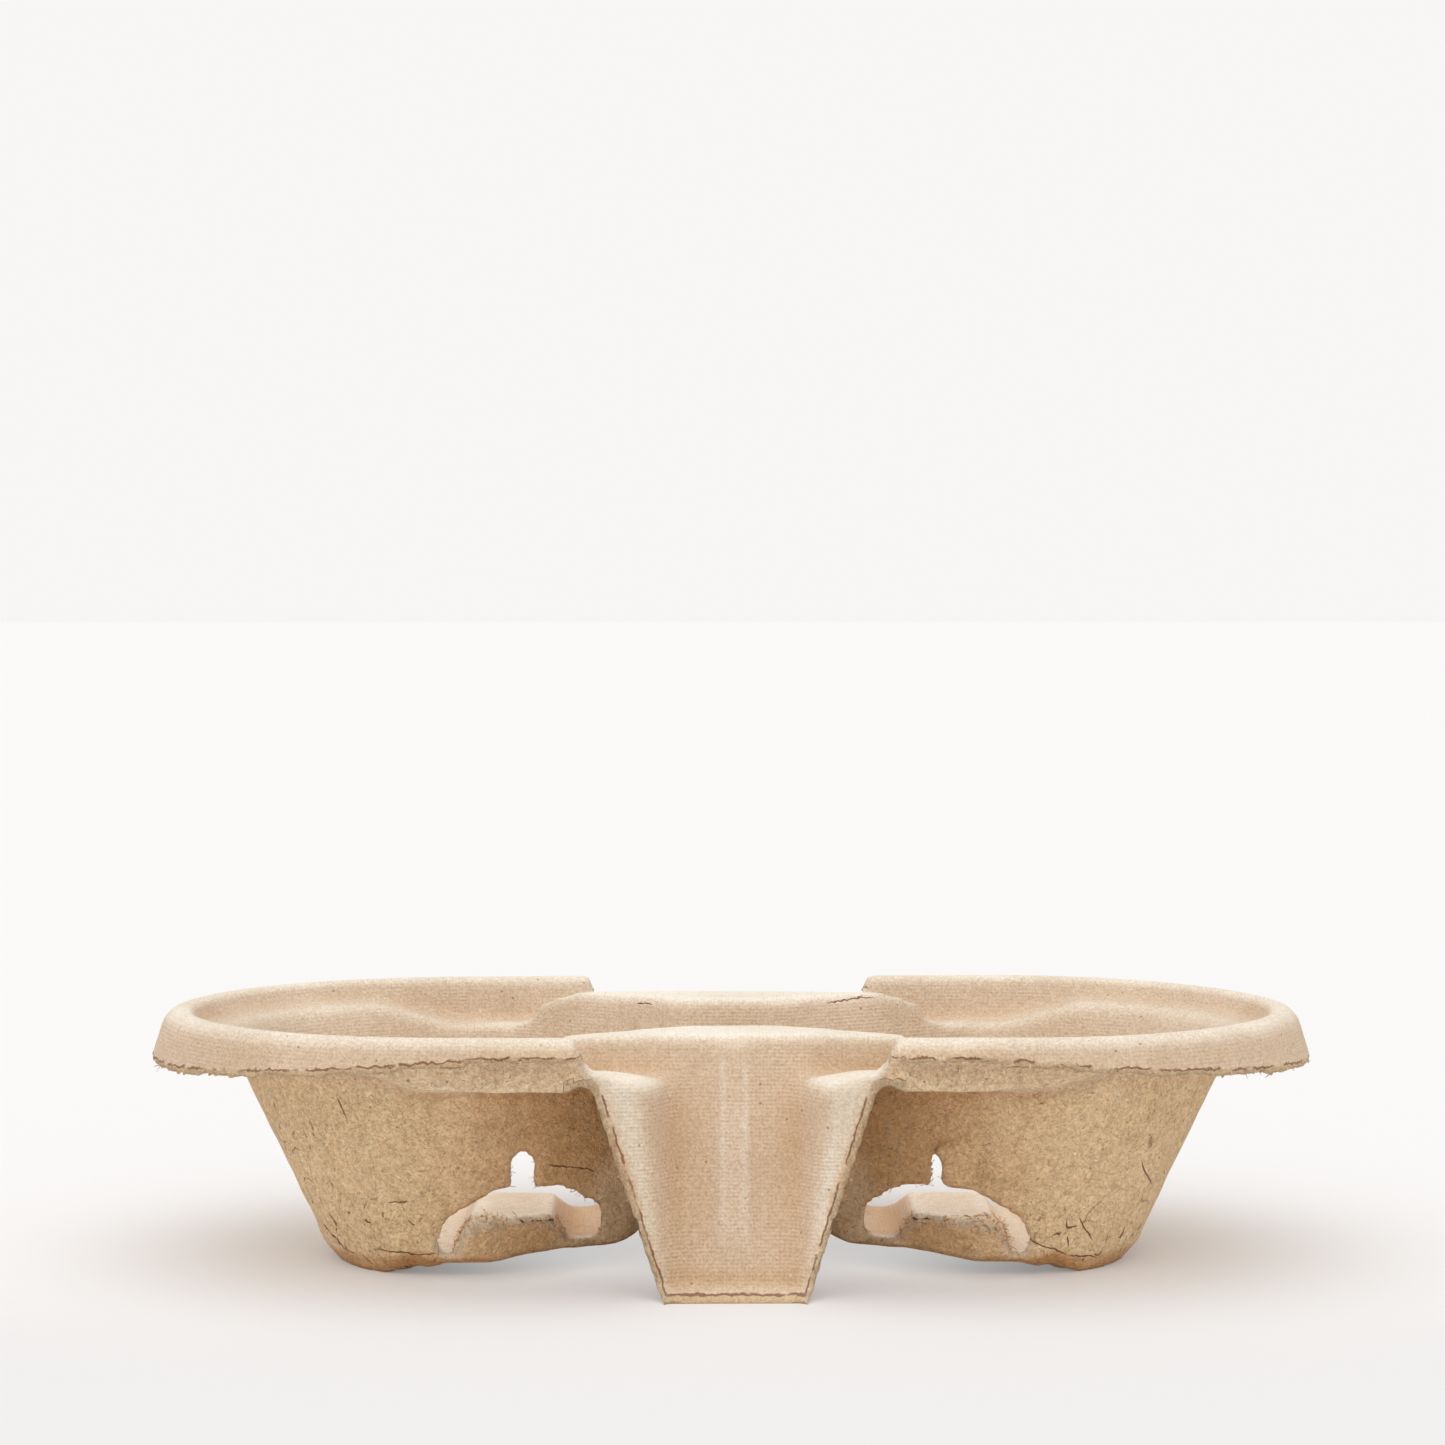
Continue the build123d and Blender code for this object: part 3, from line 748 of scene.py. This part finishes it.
    # Wear and painted highlight: paler on the bulges of the smooth side, most where they face up
    wornAndLit = add(maths, times, (add(ramp, soft, (masks["bulge"], *fades["wornAndLit"])), masks["side"]))
    upward = add(ramp, soft, (facing[2], *fades["upwardHighlight"]))
    stain = add(maths, times, (masks["slot"], add(ramp, soft, (axes[2], *fades["stainHeight"]))))
    darkShare, paleShare = [
        add(maths, times, (hair, add(maths, timesPlus, (rough, onRough, onBoth))))
        for hair, (onBoth, onRough) in zip((darkHairs, hairs), pulp["hairShares"].values())]
    masks.update({
        "wornAndLit": add(maths, times, (wornAndLit, upward)),
        # Painted shade: darker where the surface is hollow
        "sunk": add(ramp, soft, (masks["bulge"], *fades["sunk"])),
        "torn": torn,
        "ribHighlight": ribHighlight,
        "stain": add(maths, times, (stain, add(ramp, soft, (felt, *fades["stainFelt"])))),
        "specks": specks,
        "darkHairs": darkShare,
        "paleMarks": add(maths, larger, (flecks, paleShare)),
        "lines": cracks})
    colour = laidOver(add, linearColour(pulp["rough"]), masks, pulp["coats"])

    # Tone: drift, coarse felt, fine grain and weave, warmer where it is darker
    tones = {name: add(ramp, soft, (source, *fades[name])) for name, source in (
        ("lumpTone", noises["lumps"]), ("feltTone", felt), ("coarseTone", rough), ("driftTone", noises["drift"]),
        ("grainTone", noises["grain"]), ("grainWherePale", masks["pale"]), ("sideTone", rough))}
    coarse = add(maths, plus, (tones["lumpTone"], tones["feltTone"]))
    tone = add(maths, timesPlus, (coarse, tones["coarseTone"], tones["driftTone"]))
    tone = add(maths, timesPlus, (tones["grainTone"], tones["grainWherePale"], tone))
    tone = add(maths, timesPlus, (weave, pulp["wireTone"], tone))
    tone = add(maths, plus, (tone, tones["sideTone"]))
    warmed = add("ShaderNodeCombineColor", None, [add(maths, power, (tone, step)) for step in pulp["warmth"]])
    colour = add(mix, {**tinted, "blend_type": "MULTIPLY"}, {0: 1.0, 6: colour, 7: warmed}, 2)
    colour = laidOver(add, colour, masks, pulp["flaws"])

    layers = {"weave": weave, "grain": noises["grain"], "felt": felt, "lumps": noises["lumps"],
              "hairs": hairs, "ribHighlight": ribHighlight, "lines": cracks}
    height = add(maths, times, (torn, add(maths, timesPlus, (felt, *pulp["tornRelief"]))))
    for name, (onBoth, onRough) in pulp["relief"].items():
        depth = add(maths, timesPlus, (rough, onRough, onBoth))
        height = add(maths, timesPlus, (layers[name], depth, height))
    bump = add("ShaderNodeBump", None, {"Strength": 1.0, "Distance": mm, "Height": height})

    shader = add("ShaderNodeBsdfPrincipled", None, {
        "Base Color": colour, "Roughness": pulp["roughness"], "IOR": pulp["ior"],
        "Specular IOR Level": pulp["specular"], "Sheen Weight": pulp["sheen"],
        "Sheen Roughness": pulp["sheenRoughness"], "Normal": bump})
    add("ShaderNodeOutputMaterial", None, {"Surface": shader}, None)
    return material


# Loose fibres and torn flakes along the trimmed edges: cellulose teased out by the trimming die
tornBits = {
    "edgeFibres": {
        "kind": "fibre", "attribute": "fray", "seed": 4,
        "perSquare": 0.45, "length": 1.1, "width": 0.06, "curl": 0.9},
    "slotFibres": {
        "kind": "fibre", "attribute": "slot", "seed": 11,
        "perSquare": 0.9, "length": 1.3, "width": 0.06, "curl": 1.1},
    "edgeFlakes": {
        "kind": "flake", "attribute": "fray", "seed": 23,
        "perSquare": 0.8, "length": 0.85, "width": 0.34, "curl": 0.6},
}

fibre = {
    "plain": ("#c29c70", "#e2c9a4"),  # darkest and palest
    "stained": ("#c08a55", "#eccfa8"),  # the same in the slots
    "roughness": 0.85,
    "ior": 1.5,
    "sheen": 0.2,
    "lean": 1.25,  # how far a bit leans from upright, in radians
    "smallest": (0.6, 0.6, 0.35),  # shares of its size, across and along
    "largest": (1.3, 1.3, 1.35),
    "curlSize": 1.1,
    "aboveTable": 0.02,
}


def makeFibreStuff():
    material = bpy.data.materials.new("looseFibre")
    material.use_nodes = True
    tree = material.node_tree
    tree.nodes.clear()
    add = partial(addNode, tree)
    slot, tint = [add("ShaderNodeAttribute", {"attribute_name": name}, output="Fac") for name in ("slot", "tint")]
    away, inSlot = [
        add(mix, tinted, {0: tint, 6: linearColour(dark), 7: linearColour(pale)}, 2)
        for dark, pale in (fibre["plain"], fibre["stained"])]
    share = add(maths, {**times, "use_clamp": True}, (slot, 1.2))
    colour = add(mix, tinted, {0: share, 6: away, 7: inSlot}, 2)
    shader = add("ShaderNodeBsdfPrincipled", None, {
        "Base Color": colour, "Roughness": fibre["roughness"], "IOR": fibre["ior"],
        "Sheen Weight": fibre["sheen"]})
    add("ShaderNodeOutputMaterial", None, {"Surface": shader}, None)
    return material


def bitsTree(values):
    tree = bpy.data.node_groups.new(values["kind"], "GeometryNodeTree")
    for name, way, kind in (
            ("Geometry", "INPUT", "Geometry"), ("Density", "INPUT", "Float"), ("Length", "INPUT", "Float"),
            ("Width", "INPUT", "Float"), ("Curl", "INPUT", "Float"), ("Seed", "INPUT", "Int"),
            ("Stuff", "INPUT", "Material"), ("Geometry", "OUTPUT", "Geometry")):
        tree.interface.new_socket(name, in_out=way, socket_type="NodeSocket" + kind)
    add = partial(addNode, tree)
    given = add("NodeGroupInput", output=None)

    # Points where the attribute is strong
    share = add(
        "GeometryNodeInputNamedAttribute", {"data_type": "FLOAT"}, {"Name": values["attribute"]}, "Attribute")
    spread = add("GeometryNodeDistributePointsOnFaces", None, {
        "Mesh": given["Geometry"], "Selection": add("FunctionNodeCompare", above, (share, 0.35)),
        "Density": add(maths, times, (share, given["Density"])), "Seed": given["Seed"]}, None)

    # One bit: a tapering fibre with its root in the edge, or a flattened crumb
    if values["kind"] == "fibre":
        low = add("ShaderNodeCombineXYZ", None, {"Z": add(maths, times, (given["Length"], -0.25))})
        high = add("ShaderNodeCombineXYZ", None, {"Z": given["Length"]})
        line = add("GeometryNodeCurvePrimitiveLine", None, {"Start": low, "End": high})
        line = add("GeometryNodeResampleCurve", None, {"Curve": line, "Count": 6})
        along = add("GeometryNodeSplineParameter", output="Factor")
        taper = add(ramp, None, (along, 0.3, 1.0, 1.0, 0.25))
        line = add("GeometryNodeSetCurveRadius", None, {"Curve": line, "Radius": taper})
        ring = add("GeometryNodeCurvePrimitiveCircle", None, {"Resolution": 3, "Radius": given["Width"]})
        bit = add("GeometryNodeCurveToMesh", None, {"Curve": line, "Profile Curve": ring, "Fill Caps": True})
    else:
        ball = add("GeometryNodeMeshIcoSphere", None, {"Radius": 0.5, "Subdivisions": 2})
        size = add("ShaderNodeCombineXYZ", None, (given["Length"], given["Length"], given["Width"]))
        bit = add("GeometryNodeTransform", None, {"Geometry": ball, "Scale": size})

    # Each turned, sized, tinted and bent in its own way
    lean = fibre["lean"]
    turn = add("FunctionNodeRandomValue", {"data_type": "FLOAT_VECTOR"}, {
        0: (-lean, -lean, 0.0), 1: (lean, lean, 2 * math.pi), "Seed": given["Seed"]})
    grow = add("FunctionNodeRandomValue", {"data_type": "FLOAT_VECTOR"}, {
        0: fibre["smallest"], 1: fibre["largest"], "Seed": given["Seed"]})
    tilt = add("FunctionNodeRotateRotation", {"rotation_space": "LOCAL"}, (spread["Rotation"], turn))
    bits = add("GeometryNodeInstanceOnPoints", None, {
        "Points": spread["Points"], "Instance": bit, "Rotation": tilt, "Scale": grow})
    tint = add("FunctionNodeRandomValue", {"data_type": "FLOAT"}, {2: 0.0, 3: 1.0, "Seed": given["Seed"]}, 1)
    bits = add("GeometryNodeStoreNamedAttribute", {"data_type": "FLOAT", "domain": "INSTANCE"}, {
        "Geometry": bits, "Name": "tint", "Value": tint})
    bits = add("GeometryNodeRealizeInstances", None, {"Geometry": bits})
    bend = add("ShaderNodeTexNoise", None, {"Scale": perMetre(fibre["curlSize"]), "Detail": 1.0}, "Color")
    bend = add(vectors, minus, (bend, (0.5, 0.5, 0.5)))
    bend = add(vectors, {"operation": "SCALE"}, {0: bend, "Scale": given["Curl"]})
    bits = add("GeometryNodeSetPosition", None, {"Geometry": bits, "Offset": bend})
    bits = add("GeometryNodeSetMaterial", None, {"Geometry": bits, "Material": given["Stuff"]})
    add("NodeGroupOutput", None, (bits,), None)
    return tree


def makeTornBits(body):
    stuff = makeFibreStuff()
    pieces = []
    for name, values in tornBits.items():
        blank = bpy.data.objects.new(name + "Blank", body.data)
        bpy.context.scene.collection.objects.link(blank)
        nodes = blank.modifiers.new("bits", "NODES")
        nodes.node_group = bitsTree(values)
        inputs = {
            "Density": values["perSquare"] / mm ** 2, "Length": values["length"] * mm,
            "Width": values["width"] * mm, "Curl": values["curl"] * mm,
            "Seed": values["seed"], "Stuff": stuff}
        for item in nodes.node_group.interface.items_tree:
            if item.item_type == "SOCKET" and item.in_out == "INPUT" and item.name in inputs:
                nodes[item.identifier] = inputs[item.name]
        mesh = evaluated(blank)
        bpy.data.objects.remove(blank)
        points = meshPoints(mesh)
        points[:, 2] = np.maximum(points[:, 2], fibre["aboveTable"] * mm)
        setPoints(mesh, points)
        piece = bpy.data.objects.new(name, mesh)
        bpy.context.scene.collection.objects.link(piece)
        print(name, len(mesh.polygons), "faces")
        pieces.append(piece)
    return pieces


bpy.context.scene.view_settings.view_transform = "Standard"
makeCamera()
makeLight()
makeTable()
print("camera, light and table ready")
carrierBody = makeCarrier()
print("carrier body ready")
looseBits = makeTornBits(carrierBody)
for piece in (carrierBody, *looseBits):
    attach(piece, "root")
    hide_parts("cup_carrier")
print("carrier ready")
